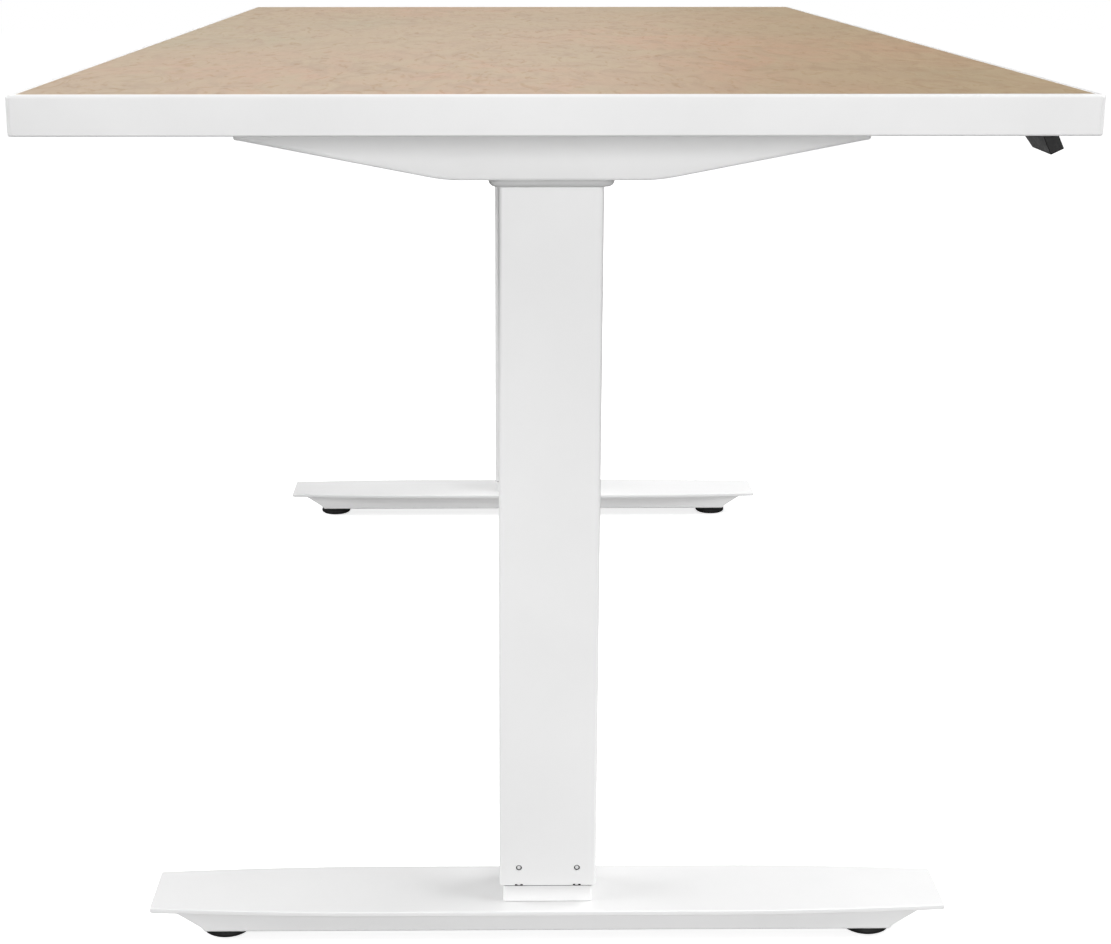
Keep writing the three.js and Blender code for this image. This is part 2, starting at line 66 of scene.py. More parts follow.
def add_camera():
    """End-on view from the desk's left, 15 degrees down, with the centre of projection left of the middle."""
    level = Vector((math.cos(CAMERA_YAW), -math.sin(CAMERA_YAW), 0))
    forward = level * math.cos(CAMERA_PITCH) - Vector((0, 0, math.sin(CAMERA_PITCH)))
    right = Vector((-math.sin(CAMERA_YAW), -math.cos(CAMERA_YAW), 0))
    up = right.cross(forward)
    data = bpy.data.cameras.new("camera")
    data.sensor_width = 36
    data.lens = CAMERA_LENS
    data.shift_x = CAMERA_SHIFT
    data.clip_end = 50
    camera = bpy.data.objects.new("camera", data)
    turn = Matrix((right, up, -forward)).transposed()
    camera.matrix_world = Matrix.Translation(CAMERA_PLACE) @ turn.to_4x4()
    bpy.context.collection.objects.link(camera)
    bpy.context.scene.camera = camera


def add_light(name, place, target, size, power):
    data = bpy.data.lights.new(name, "AREA")
    data.shape = "RECTANGLE"
    data.size, data.size_y = size
    data.energy = power
    lamp = bpy.data.objects.new(name, data)
    lamp.location = place
    lamp.rotation_euler = (Vector(target) - Vector(place)).to_track_quat("-Z", "Y").to_euler()
    bpy.context.collection.objects.link(lamp)


def add_floor():
    """A white sweep seen from above only, so a view from below shows the underside; it bounces less
    light than it shows, as a far-off studio floor does."""
    mesh = bpy.data.meshes.new("floor")
    corners = [(x * FLOOR_HALF, y * FLOOR_HALF, 0) for x, y in ((-1, -1), (1, -1), (1, 1), (-1, 1))]
    mesh.from_pydata(corners, [], [(0, 1, 2, 3)])
    floor = bpy.data.objects.new("floor", mesh)
    floor.location.z = -FLOOR_DROP
    bpy.context.collection.objects.link(floor)
    material = bpy.data.materials.new("floor")
    material.use_nodes = True
    nodes, links = material.node_tree.nodes, material.node_tree.links
    seen = nodes["Principled BSDF"]
    bounced = nodes.new("ShaderNodeBsdfDiffuse")
    bounced.inputs["Color"].default_value = (FLOOR_BOUNCE, FLOOR_BOUNCE, FLOOR_BOUNCE, 1)
    seen.inputs["Base Color"].default_value = (0.94, 0.94, 0.94, 1)
    seen.inputs["Roughness"].default_value = 0.9
    seen.inputs["Specular IOR Level"].default_value = 0.1
    seen.inputs["Emission Color"].default_value = (1, 1, 1, 1)
    seen.inputs["Emission Strength"].default_value = FLOOR_GLOW
    path = nodes.new("ShaderNodeLightPath")
    top = nodes.new("ShaderNodeMixShader")
    links.new(path.outputs["Is Camera Ray"], top.inputs["Fac"])
    links.new(bounced.outputs[0], top.inputs[1])
    links.new(seen.outputs[0], top.inputs[2])
    geometry = nodes.new("ShaderNodeNewGeometry")
    clear = nodes.new("ShaderNodeBsdfTransparent")
    both = nodes.new("ShaderNodeMixShader")
    links.new(geometry.outputs["Backfacing"], both.inputs["Fac"])
    links.new(top.outputs[0], both.inputs[1])
    links.new(clear.outputs[0], both.inputs[2])
    links.new(both.outputs[0], nodes["Material Output"].inputs["Surface"])
    mesh.materials.append(material)


def add_world():
    """White behind the desk; as a light it is brighter on the user's side than on the far side."""
    world = bpy.data.worlds.new("studio")
    world.use_nodes = True
    nodes, links = world.node_tree.nodes, world.node_tree.links
    background = nodes["Background"]
    background.inputs["Color"].default_value = (1, 1, 1, 1)
    direction = nodes.new("ShaderNodeTexCoord")
    split = nodes.new("ShaderNodeSeparateXYZ")
    links.new(direction.outputs["Generated"], split.inputs["Vector"])
    slope = nodes.new("ShaderNodeMapRange")
    for key, number in zip(RANGE_INPUTS, (-0.8, 0.8, *WORLD_STRENGTH)):
        slope.inputs[key].default_value = number
    links.new(split.outputs["Y"], slope.inputs["Value"])
    path = nodes.new("ShaderNodeLightPath")
    brighter = nodes.new("ShaderNodeMath")
    brighter.operation = "MAXIMUM"
    links.new(slope.outputs["Result"], brighter.inputs[0])
    links.new(path.outputs["Is Camera Ray"], brighter.inputs[1])
    links.new(brighter.outputs[0], background.inputs["Strength"])
    bpy.context.scene.world = world


def add_lights():
    add_light("end_key", (-5.4, -0.4, 1.3), (-0.6, 0, 0.42), (3.6, 1.5), 156)
    add_light("user_side", (-0.4, -2.7, 3.3), (-0.4, 0, 0.1), (4.0, 1.4), 142)
    add_light("far_side", (-0.4, 3.4, 2.3), (-0.4, 0, 0.1), (4.0, 1.4), 114)
    add_light("end_fill", (3.6, 0.8, 2.8), (0.5, 0, 0.4), (3.0, 2.0), 50)
    bpy.context.scene.view_settings.view_transform = "Standard"


# ---------------------------------------------------------------- materials
class Recipe:
    """A node material under construction: noise, ramps and mixes feeding one principled shader."""

    def __init__(self, name, roughness, metallic=0.0, specular=0.5):
        self.material = bpy.data.materials.new(name)
        self.material.use_nodes = True
        self.nodes = self.material.node_tree.nodes
        self.links = self.material.node_tree.links
        self.shader = self.nodes["Principled BSDF"]
        self.shader.inputs["Roughness"].default_value = roughness
        self.shader.inputs["Metallic"].default_value = metallic
        self.shader.inputs["Specular IOR Level"].default_value = specular
        self.place = self.nodes.new("ShaderNodeTexCoord").outputs["Object"]

    def stretched(self, scale, turn=(0, 0, 0)):
        node = self.nodes.new("ShaderNodeMapping")
        node.inputs["Scale"].default_value = scale
        node.inputs["Rotation"].default_value = turn
        self.links.new(self.place, node.inputs["Vector"])
        return node.outputs["Vector"]

    def noise(self, scale, detail=4.0, rough=0.5, where=None, distortion=0.0):
        node = self.nodes.new("ShaderNodeTexNoise")
        node.inputs["Scale"].default_value = scale
        node.inputs["Detail"].default_value = detail
        node.inputs["Roughness"].default_value = rough
        node.inputs["Distortion"].default_value = distortion
        self.links.new(where or self.place, node.inputs["Vector"])
        return node.outputs["Fac"]

    def spread(self, value, low, high, to_low, to_high):
        node = self.nodes.new("ShaderNodeMapRange")
        for key, number in zip(RANGE_INPUTS, (low, high, to_low, to_high)):
            node.inputs[key].default_value = number
        self.links.new(value, node.inputs["Value"])
        return node.outputs["Result"]

    def mix(self, factor, a, b, blend="MIX"):
        node = self.nodes.new("ShaderNodeMix")
        node.data_type = "RGBA"
        node.blend_type = blend
        node.clamp_factor = True
        for socket, value in ((node.inputs[0], factor), (node.inputs[6], a), (node.inputs[7], b)):
            if isinstance(value, bpy.types.NodeSocket):
                self.links.new(value, socket)
            elif isinstance(value, (int, float)):
                socket.default_value = value
            else:
                socket.default_value = (*value, 1)
        return node.outputs[2]

    def math(self, operation, a, b=None):
        node = self.nodes.new("ShaderNodeMath")
        node.operation = operation
        for socket, value in ((node.inputs[0], a), (node.inputs[1], b)):
            if isinstance(value, bpy.types.NodeSocket):
                self.links.new(value, socket)
            elif value is not None:
                socket.default_value = value
        return node.outputs[0]

    def bump(self, height, distance, strength=1.0):
        node = self.nodes.new("ShaderNodeBump")
        node.inputs["Strength"].default_value = strength
        node.inputs["Distance"].default_value = distance
        self.links.new(height, node.inputs["Height"])
        self.links.new(node.outputs["Normal"], self.shader.inputs["Normal"])

    def feed(self, socket, value):
        self.links.new(value, self.shader.inputs[socket])


def linear(r, g, b):
    """A colour given in 0-255 screen values, as the shader's linear ones."""
    return tuple(((c / 255 + 0.055) / 1.055) ** 2.4 if c > 10 else c / 255 / 12.92 for c in (r, g, b))


def wood_laminate():
    """Pale maple decor: pinkish and greenish tan clouds, a curly darker figure, short marks along X."""
    r = Recipe("wood_laminate", 0.48, specular=0.1)
    drift = r.spread(r.noise(1.0, 3, 0.5, r.stretched((1.3, 3.0, 1))), 0.36, 0.64, 0, 1)
    colour = r.mix(drift, linear(168, 134, 106), linear(155, 139, 110))
    cloud = r.spread(r.noise(1.0, 5, 0.62, r.stretched((6, 13, 1)), 1.4), 0.4, 0.6, 0, 0.85)
    colour = r.mix(cloud, colour, linear(162, 141, 111))
    patch = r.spread(r.noise(1.0, 4, 0.6, r.stretched((9, 21, 1)), 2.4), 0.47, 0.66, 0, 0.7)
    colour = r.mix(patch, colour, linear(147, 121, 93))
    figure = r.spread(r.noise(1.0, 3, 0.55, r.stretched((13, 44, 1)), 3.0), 0.56, 0.68, 0, 0.14)
    colour = r.mix(figure, colour, linear(142, 112, 86))
    fibre = r.spread(r.noise(1.0, 4, 0.6, r.stretched((14, 330, 1))), 0.4, 0.7, 0, 0.12)
    colour = r.mix(fibre, colour, linear(142, 114, 90))
    flecks = r.spread(r.noise(1.0, 3, 0.5, r.stretched((70, 170, 1)), 1.0), 0.6, 0.74, 0, 0.2)
    colour = r.mix(flecks, colour, linear(190, 169, 143))
    r.feed("Base Color", colour)
    r.feed("Roughness", r.spread(figure, 0, 0.14, 0.44, 0.54))
    r.bump(r.math("ADD", fibre, figure), 0.00005, 0.4)
    return r.material


def backer_sheet():
    """Matt melamine balancing sheet: faint paper mottle and a fine pearl texture."""
    r = Recipe("backer_sheet", 0.6, specular=0.3)
    mottle = r.spread(r.noise(26, 4, 0.6), 0.3, 0.7, 0, 1)
    r.feed("Base Color", r.mix(mottle, linear(212, 212, 210), linear(220, 220, 218)))
    r.feed("Roughness", r.spread(r.noise(180, 3), 0.3, 0.7, 0.54, 0.68))
    r.bump(r.noise(1300, 3, 0.55), 0.00008, 0.3)
    return r.material


def powder_coat(name, tone, roughness=0.42):
    """Satin powder coat: fine orange peel, a little cloudiness and uneven gloss."""
    r = Recipe(name, roughness, specular=0.45)
    cloud = r.spread(r.noise(9, 3), 0.3, 0.7, 0, 1)
    shade = [c * 0.965 for c in tone]
    r.feed("Base Color", r.mix(cloud, shade, tone))
    grain = r.noise(1500, 2, 0.5)
    r.feed("Roughness", r.spread(r.noise(140, 3), 0.3, 0.7, roughness - 0.06, roughness + 0.07))
    peel = r.noise(420, 3, 0.45)
    r.bump(r.math("ADD", peel, r.math("MULTIPLY", grain, 0.35)), 0.00012, 0.22)
    return r.material


def edge_band_plastic():
    """Satin ABS edging: faint mottling, light drag lines along the edge, fine grain."""
    r = Recipe("white_edge_band", 0.36, specular=0.45)
    cloud = r.spread(r.noise(14, 3), 0.3, 0.7, 0, 1)
    r.feed("Base Color", r.mix(cloud, linear(215, 215, 215), linear(219, 219, 219)))
    drag = r.noise(1.0, 3, 0.6, r.stretched((3, 3, 700)))
    r.feed("Roughness", r.spread(drag, 0.3, 0.7, 0.31, 0.44))
    r.bump(r.math("ADD", drag, r.noise(900, 2)), 0.00005, 0.25)
    return r.material


def moulded_plastic(name, tone, roughness, grain=1100, specular=0.4):
    """Moulded plastic with a spark-eroded grain."""
    r = Recipe(name, roughness, specular=specular)
    cloud = r.spread(r.noise(30, 3), 0.3, 0.7, 0, 1)
    r.feed("Base Color", r.mix(cloud, [c * 0.88 for c in tone], tone))
    r.feed("Roughness", r.spread(r.noise(220, 3), 0.3, 0.7, roughness - 0.07, roughness + 0.08))
    r.bump(r.noise(grain, 3, 0.6), 0.00018, 0.35)
    return r.material


def brushed_metal(name, tone, roughness, along):
    """Zinc-plated or machined metal with fine lay marks."""
    r = Recipe(name, roughness, metallic=1.0)
    lay = r.noise(1.0, 4, 0.6, r.stretched(along))
    r.feed("Base Color", r.mix(r.noise(35, 3), [c * 0.82 for c in tone], tone))
    r.feed("Roughness", r.spread(lay, 0.3, 0.7, roughness - 0.08, roughness + 0.12))
    r.bump(lay, 0.00005, 0.3)
    return r.material


def cast_metal():
    r = Recipe("cast_alloy", 0.6, metallic=0.85)
    r.feed("Base Color", r.mix(r.noise(60, 4), (0.20, 0.205, 0.21), (0.34, 0.345, 0.35)))
    r.feed("Roughness", r.spread(r.noise(300, 3), 0.3, 0.7, 0.5, 0.72))
    r.bump(r.noise(650, 4, 0.6), 0.0003, 0.5)
    return r.material


MATERIALS = {
    "wood_laminate": wood_laminate(),
    "backer_sheet": backer_sheet(),
    "white_edge_band": edge_band_plastic(),
    "white_powder_coat": powder_coat("white_powder_coat", linear(232, 232, 232)),
    "grey_cap": powder_coat("grey_cap", linear(198, 198, 198), 0.38),
    "black_plastic": moulded_plastic("black_plastic", (0.0035, 0.0035, 0.0036), 0.36, specular=0.22),
    "cable_jacket": moulded_plastic("cable_jacket", (0.012, 0.012, 0.013), 0.5, 700),
    "motor_paint": powder_coat("motor_paint", (0.022, 0.022, 0.024), 0.4),
    "pad_rubber": moulded_plastic("pad_rubber", (0.006, 0.006, 0.006), 0.7, 800),
    "nut_brass": brushed_metal("nut_brass", (0.6, 0.43, 0.17), 0.35, (300, 300, 30)),
    "glide_nylon": moulded_plastic("glide_nylon", (0.72, 0.7, 0.66), 0.5),
    "cast_alloy": cast_metal(),
    "zinc_steel": brushed_metal("zinc_steel", (0.58, 0.585, 0.6), 0.3, (60, 60, 500)),
}


# ---------------------------------------------------------------- mesh tools
SLIVER, CAD_SLIVER = 3e-6, 2e-6  # vertices closer than this become one
AXIS_RADIUS = 1e-6  # a turned shape's ring on its axis, before it becomes one vertex


def finish_mesh(piece, angle=35):
    """Welds slivers, turns normals outward, smooths all but real edges and weights flat faces."""
    bm = bmesh.new()
    bm.from_mesh(piece.data)
    bmesh.ops.remove_doubles(bm, verts=bm.verts, dist=SLIVER)
    bmesh.ops.recalc_face_normals(bm, faces=bm.faces)
    bm.to_mesh(piece.data)
    bm.free()
    for face in piece.data.polygons:
        face.use_smooth = True
    piece.data.set_sharp_from_angle(angle=math.radians(angle))
    weighted = piece.modifiers.new("normals", "WEIGHTED_NORMAL")
    weighted.keep_sharp = True


def add_piece(name, body, slot, verts, faces, replaces=(), angle=35):
    mesh = bpy.data.meshes.new(name)
    mesh.from_pydata([tuple(v) for v in verts], [], faces)
    mesh.validate()
    piece = bpy.data.objects.new(name, mesh)
    bpy.context.collection.objects.link(piece)
    mesh.materials.append(MATERIALS[slot])
    finish_mesh(piece, angle)
    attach(piece, body)
    if replaces:
        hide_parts(*replaces)
    return piece


def loft(loops, capped=True, closed=False):
    """Quads between loops of equal length; the ends are capped, or joined to each other."""
    count = len(loops[0])
    verts = [p for loop in loops for p in loop]
    pairs = list(zip(range(len(loops) - 1), range(1, len(loops))))
    if closed:
        pairs.append((len(loops) - 1, 0))
    faces = []
    for a, b in pairs:
        for i in range(count):
            j = (i + 1) % count
            faces.append((a * count + i, a * count + j, b * count + j, b * count + i))
    if capped and not closed:
        faces.append(tuple(range(count))[::-1])
        faces.append(tuple(range((len(loops) - 1) * count, len(loops) * count)))
    return verts, faces


def joined(*shapes):
    verts, faces = [], []
    for some_verts, some_faces in shapes:
        base = len(verts)
        verts += some_verts
        faces += [tuple(i + base for i in face) for face in some_faces]
    return verts, faces


def rectangle(centre, width, depth, radius, z, steps=8):
    """A rounded rectangle's points at height z, counterclockwise from above."""
    points = []
    for quarter, (sx, sy) in enumerate(((1, 1), (-1, 1), (-1, -1), (1, -1))):
        cx = centre[0] + sx * (width / 2 - radius)
        cy = centre[1] + sy * (depth / 2 - radius)
        for k in range(steps + 1):
            a = math.pi / 2 * (quarter + k / steps)
            points.append((cx + radius * math.cos(a), cy + radius * math.sin(a), z))
    return points


def quarter_round(radius, steps, top=False):
    """(inset, rise) pairs round an edge, from the bottom to the side or from the side to the top."""
    pairs = []
    for k in range(steps + 1):
        a = math.pi / 2 * k / steps
        inset, rise = radius * (1 - math.sin(a)), radius * (1 - math.cos(a))
        pairs.append((inset, rise))
    return [(i, -r) for i, r in reversed(pairs)] if top else pairs


def soft_block(low, high, corner, arris, steps=4, corner_steps=6):
    """A block with rounded vertical corners and rounded top and bottom edges."""
    (x0, y0, z0), (x1, y1, z1) = low, high
    centre = ((x0 + x1) / 2, (y0 + y1) / 2)
    profile = [(i, z0 + r) for i, r in quarter_round(arris, steps)]
    profile += [(i, z1 + r) for i, r in quarter_round(arris, steps, top=True)]
    loops = [
        rectangle(centre, x1 - x0 - 2 * i, y1 - y0 - 2 * i, max(corner - i, 1e-4), z, corner_steps)
        for i, z in profile
    ]
    return loft(loops)


def spun(profile, place, axis="z", segments=48):
    """A turned shape: (radius, height) points round an axis through place; a third item makes it hex."""
    loops = []
    for radius, height, *hexed in profile:
        ring = []
        for k in range(segments):
            a = 2 * math.pi * k / segments
            reach = max(radius, AXIS_RADIUS)
            if hexed:
                reach *= math.cos(math.pi / 6) / math.cos(a % (math.pi / 3) - math.pi / 6)
            u, v = reach * math.cos(a), reach * math.sin(a)
            offset = {
                "z": (u, v, height),
                "-z": (u, -v, -height),
                "x": (height, u, v),
                "-x": (-height, u, -v),
            }[axis]
            ring.append(tuple(p + o for p, o in zip(place, offset)))
        loops.append(ring)
    return loft(loops)


def socket_head(radius, tall, shank=0.0, length=0.0):
    """Profile of a domed screw head with a hex socket, its seat at height 0, its shank below that."""
    socket = 0.5 * radius
    profile = [(0, -length), (shank, -length), (shank, 0)] if length else [(0, 0)]
    profile += [(radius, 0), (radius, 0.45 * tall), (0.93 * radius, 0.75 * tall), (0.75 * radius, tall)]
    return profile + [(socket, tall, "hex"), (0.9 * socket, 0.4 * tall, "hex"), (0, 0.4 * tall)]


def refined(node, width, segments=2, angle=28):
    """A copy of a CAD node with its coplanar facets merged and its edges softened by width."""
    source = frame["nodes"][node]
    bm = bmesh.new()
    bm.from_mesh(source.data)
    bmesh.ops.remove_doubles(bm, verts=bm.verts, dist=CAD_SLIVER)
    bmesh.ops.dissolve_limit(bm, angle_limit=math.radians(0.8), verts=bm.verts, edges=bm.edges)
    sharp = [e for e in bm.edges if e.is_manifold and e.calc_face_angle() > math.radians(angle)]
    bmesh.ops.bevel(
        bm, geom=sharp, offset=width, segments=segments, profile=0.5, affect="EDGES", clamp_overlap=True
    )
    mesh = bpy.data.meshes.new(f"{node}_piece")
    bm.to_mesh(mesh)
    bm.free()
    piece = bpy.data.objects.new(mesh.name, mesh)
    bpy.context.collection.objects.link(piece)
    slot = slot_of(node)
    mesh.materials.append(MATERIALS[slot])
    finish_mesh(piece)
    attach(piece, body_of_node(node))
    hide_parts(node)
    return piece


def slot_of(node):
    return next(s["material_slot"] for s in frame["record"]["subparts"] if s["node"] == node)


def body_of_node(node):
    bodies = frame["record"]["behaviour"]["bodies"]
    return next(body for body, nodes in bodies.items() if node in nodes)


def cut_with(piece, *cutters):
    """Subtracts closed (verts, faces) shapes from a piece and keeps the result as its mesh."""
    verts, faces = joined(*cutters)
    mesh = bpy.data.meshes.new("cutter")
    mesh.from_pydata([tuple(v) for v in verts], [], faces)
    bm = bmesh.new()
    bm.from_mesh(mesh)
    bmesh.ops.recalc_face_normals(bm, faces=bm.faces)
    bm.to_mesh(mesh)
    bm.free()
    tool = bpy.data.objects.new("cutter", mesh)
    bpy.context.collection.objects.link(tool)
    normals = piece.modifiers.get("normals")
    if normals:
        piece.modifiers.remove(normals)
    boolean = piece.modifiers.new("cut", "BOOLEAN")
    boolean.object = tool
    boolean.operation = "DIFFERENCE"
    boolean.solver = "EXACT"
    graph = bpy.context.evaluated_depsgraph_get()
    result = bpy.data.meshes.new_from_object(piece.evaluated_get(graph))
    piece.modifiers.remove(boolean)
    piece.data = result
    bpy.data.objects.remove(tool)
    finish_mesh(piece)


# ---------------------------------------------------------------- the top
def add_top():
    """Laminate and backer sheets inside a white edging, flush on top and rounded outside."""
    low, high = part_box("edge_band")
    panel_low, panel_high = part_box("desktop_panel")
    backer_low, backer_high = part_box("desktop_backer")
    arris, lower_arris, corner, nick = 2.6 * MM, 1.4 * MM, 4 * MM, 0.2 * MM
    width, depth = high.x - low.x, high.y - low.y
    inner = panel_low.x - low.x - 0.15 * MM
    section = [(i, low.z + r) for i, r in quarter_round(lower_arris, 6)]
    section += [(i, high.z + r) for i, r in quarter_round(arris, 6, top=True)]
    section += [(inner - nick, high.z), (inner, high.z - nick)]
    section += [(inner, low.z + nick), (inner - nick, low.z)]
    loops = [
        rectangle((0, 0), width - 2 * i, depth - 2 * i, max(corner - i, 0.3 * MM), z) for i, z in section
    ]
    add_piece("edge_banding", TOP_BODY, "white_edge_band", *loft(loops, closed=True), ["edge_band"])
    slab = soft_block(panel_low, panel_high, 0.4 * MM, nick, 2, 3)
    add_piece("laminate_panel", TOP_BODY, "wood_laminate", *slab, ["desktop_panel"])
    sheet = soft_block(backer_low, backer_high, 0.4 * MM, nick, 2, 3)
    add_piece("backer", TOP_BODY, "backer_sheet", *sheet, ["desktop_backer"])


# ---------------------------------------------------------------- side arms and caps
ARM_FLAT = 80 * MM  # half the level middle part
ARM_EASE = 12 * MM  # where it bends up to the tips
ARM_TIP = 11.1 * MM  # the tips' height
ARM_CREASE, ARM_LEAN, ARM_BEND, ARM_WALL = 16 * MM, 1.2 * MM, 2.6 * MM, 2.4 * MM
ARM_NOSE = 4 * MM  # how far the rounding of the tips reaches
TAB_START, TAB_END, TAB_THICK = 190 * MM, 234.4 * MM, 2.5 * MM
SCREW_Y, ACCESS_HOLE, SHAFT_HOLE, NECK_HOLE, NECK_RISE = 204 * MM, 7.5 * MM, 12 * MM, 15 * MM, 32 * MM


def arm_floor(y, low, high):
    """Height of the tray's underside at y: level in the middle, rising to the tips."""
    slope = (high.z - ARM_TIP - low.z) / (high.y - ARM_FLAT)
    reach = abs(y) - ARM_FLAT
    if reach < -ARM_EASE:
        return low.z
    if reach > ARM_EASE:
        return low.z + slope * reach
    return low.z + slope * (reach + ARM_EASE) ** 2 / (4 * ARM_EASE)


def arm_section(y, low, high):
    """The tray's outer skin at y: a side that leans in below its crease, a bend, and the floor."""
    x, half = (low.x + high.x) / 2, (high.x - low.x) / 2
    floor, crease = arm_floor(y, low, high), low.z + ARM_CREASE
    foot = half - ARM_LEAN * max(0.0, crease - floor) / ARM_CREASE
    points = [(-half, high.z), (-half, max(crease, floor + ARM_BEND + 0.5 * MM))]
    for k in range(7):
        a = math.pi / 2 * k / 6
        points.append((-foot + ARM_BEND * (1 - math.cos(a)), floor + ARM_BEND * (1 - math.sin(a))))
    return [(x + px, y, z) for px, z in points + [(-px, z) for px, z in reversed(points)]]


def arm_end(edge, x, sign, high):
    """Sections that round the tray's tip off from its last straight section."""
    rings = []
    for k in range(1, 6):
        a = math.pi / 2 * k / 5
        rise, squeeze = 0.35 * ARM_NOSE * (1 - math.cos(a)), 0.5 * ARM_NOSE * (1 - math.cos(a))
        y = sign * (high.y - ARM_NOSE * (1 - math.sin(a)))
        scale = 1 - squeeze / (high.x - x)
        rings.append([(x + (px - x) * scale, y, min(z + rise, high.z)) for px, _, z in edge])
    return rings


def shaft_hole(x, z):
    """Cutter for the lead screw's hole through the sheet at z."""
    return spun([(SHAFT_HOLE, -8 * MM), (SHAFT_HOLE, 8 * MM)], (x, 0, z))


def add_arm(side, sign):
    low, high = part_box(f"side_arm_{side}")
    x = (low.x + high.x) / 2
    last = high.y - ARM_NOSE
    rows = [arm_section(last * (k / 40 - 1), low, high) for k in range(81)]
    rows = arm_end(rows[0], x, -1, high)[::-1] + rows + arm_end(rows[-1], x, 1, high)
    count = len(rows[0])
    verts = [point for row in rows for point in row]
    faces = [
        (a + i, a + i + 1, a + count + i + 1, a + count + i)
        for a in range(0, len(verts) - count, count)
        for i in range(count - 1)
    ]
    faces += [tuple(range(count)), tuple(range(len(verts) - count, len(verts)))[::-1]]
    node = f"side_arm_{side}"
    piece = add_piece(f"arm_shell_{side}", TOP_BODY, "white_powder_coat", verts, faces, [node])
    piece.modifiers.remove(piece.modifiers["normals"])
    shell = piece.modifiers.new("shell", "SOLIDIFY")
    shell.thickness = ARM_WALL
    shell.offset = -1
    graph = bpy.context.evaluated_depsgraph_get()
    piece.data = bpy.data.meshes.new_from_object(piece.evaluated_get(graph))
    piece.modifiers.remove(shell)
    inner_wall = (x - sign * (high.x - x), 0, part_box(f"motor_{side}")[0].z + NECK_RISE)
    cutters = [spun([(NECK_HOLE, -12 * MM), (NECK_HOLE, 12 * MM)], inner_wall, "x")]
    cutters.append(shaft_hole(x, low.z))
    for row, way in ROWS:
        access = [(ACCESS_HOLE, 0), (ACCESS_HOLE, high.z - low.z - 6 * MM)]
        cutters.append(spun(access, (x, way * SCREW_Y, low.z)))
        near, far = sorted((way * TAB_START, way * TAB_END))
        inset = 1.6 * MM
        tab_low = (low.x + inset, near, high.z - TAB_THICK)
        tab = soft_block(tab_low, (high.x - inset, far, high.z), 1.5 * MM, 0.4 * MM, 2, 4)
        add_piece(f"arm_tab_{row}_{side}", TOP_BODY, "white_powder_coat", *tab)
        screw_low, screw_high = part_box(f"arm_screw_{row}_{side}")
        radius = (screw_high.x - screw_low.x) / 2
        head = spun(socket_head(radius, 2.6 * MM), (x, way * SCREW_Y, high.z - TAB_THICK), "-z", 36)
        screw = f"arm_screw_{row}_{side}"
        add_piece(f"{screw}_head", TOP_BODY, "zinc_steel", *head, [screw])
    cut_with(piece, *cutters)


def add_cap(side):
    """Pressed cap plate: rounded corners and a well rounded lower edge."""
    low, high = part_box(f"column_cap_{side}")
    centre = ((low.x + high.x) / 2, (low.y + high.y) / 2)
    width, depth = high.x - low.x, high.y - low.y
    profile = [(i, low.z + r) for i, r in quarter_round(4.6 * MM, 8)]
    profile += [(i, high.z + r) for i, r in quarter_round(0.4 * MM, 2, top=True)]
    loops = [rectangle(centre, width - 2 * i, depth - 2 * i, 9 * MM - i, z, 10) for i, z in profile]
    plate = add_piece(f"cap_plate_{side}", TOP_BODY, "grey_cap", *loft(loops), [f"column_cap_{side}"])
    cut_with(plate, shaft_hole(centre[0], (low.z + high.z) / 2))


# ---------------------------------------------------------------- columns
def tube_shape(low, high, wall, corner, lip):
    centre = ((low.x + high.x) / 2, (low.y + high.y) / 2)
    width, depth = high.x - low.x, high.y - low.y
    section = [(lip, low.z), (0.3 * lip, low.z + 0.3 * lip), (0, low.z + lip)]
    section += [(0, high.z - lip), (lip, high.z), (wall - lip, high.z), (wall, high.z - lip)]
    section += [(wall, low.z + lip), (wall - lip, low.z)]
    loops = [
        rectangle(centre, width - 2 * i, depth - 2 * i, max(corner - i, 0.6 * MM), z) for i, z in section
    ]
    return loft(loops, closed=True)


WIDE_WALL, WIDE_CORNER, NARROW_WALL, NARROW_CORNER = 1.5 * MM, 3.2 * MM, 1.8 * MM, 3 * MM
CLIP_Y, CLIP_RISE, CLIP_HOLE = 24 * MM, 16 * MM, 2.5 * MM
NOTCH_HALF, NOTCH_RISE, HOOK_HALF, CLIP_GAP = 3.3 * MM, 1.3 * MM, 1.3 * MM, 0.05 * MM
WIPER_GAP, WIPER_BRIM, WIPER_DROP, WIPER_RISE = 0.3 * MM, 1.1 * MM, 0.6 * MM, 2 * MM
THROUGH = 60 * MM  # half the length of a cut through both walls


def add_column(side):
    """Both tubes, with the clip holes and notches at the foot of the wide one."""
    low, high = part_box(f"outer_tube_{side}")
    wide = tube_shape(low, high, WIDE_WALL, WIDE_CORNER, 0.4 * MM)
    tube = add_piece(f"wide_tube_{side}", TOP_BODY, "white_powder_coat", *wide, [f"outer_tube_{side}"])
    x = (low.x + high.x) / 2
    cutters = []
    for y in (-CLIP_Y, CLIP_Y):
        hole = [(CLIP_HOLE, -THROUGH), (CLIP_HOLE, THROUGH)]
        cutters.append(spun(hole, (x, y, low.z + CLIP_RISE), "x", 32))
        notch_low = (x - THROUGH, y - NOTCH_HALF, low.z - 3 * MM)
        notch_high = (x + THROUGH, y + NOTCH_HALF, low.z + NOTCH_RISE)
        cutters.append(soft_block(notch_low, notch_high, 0.3 * MM, 0.3 * MM, 2, 2))
    cut_with(tube, *cutters)
    low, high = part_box(f"inner_tube_{side}")
    narrow = tube_shape(low, high, NARROW_WALL, NARROW_CORNER, 0.3 * MM)
    add_piece(f"narrow_tube_{side}", f"base_{side}", "white_powder_coat", *narrow, [f"inner_tube_{side}"])


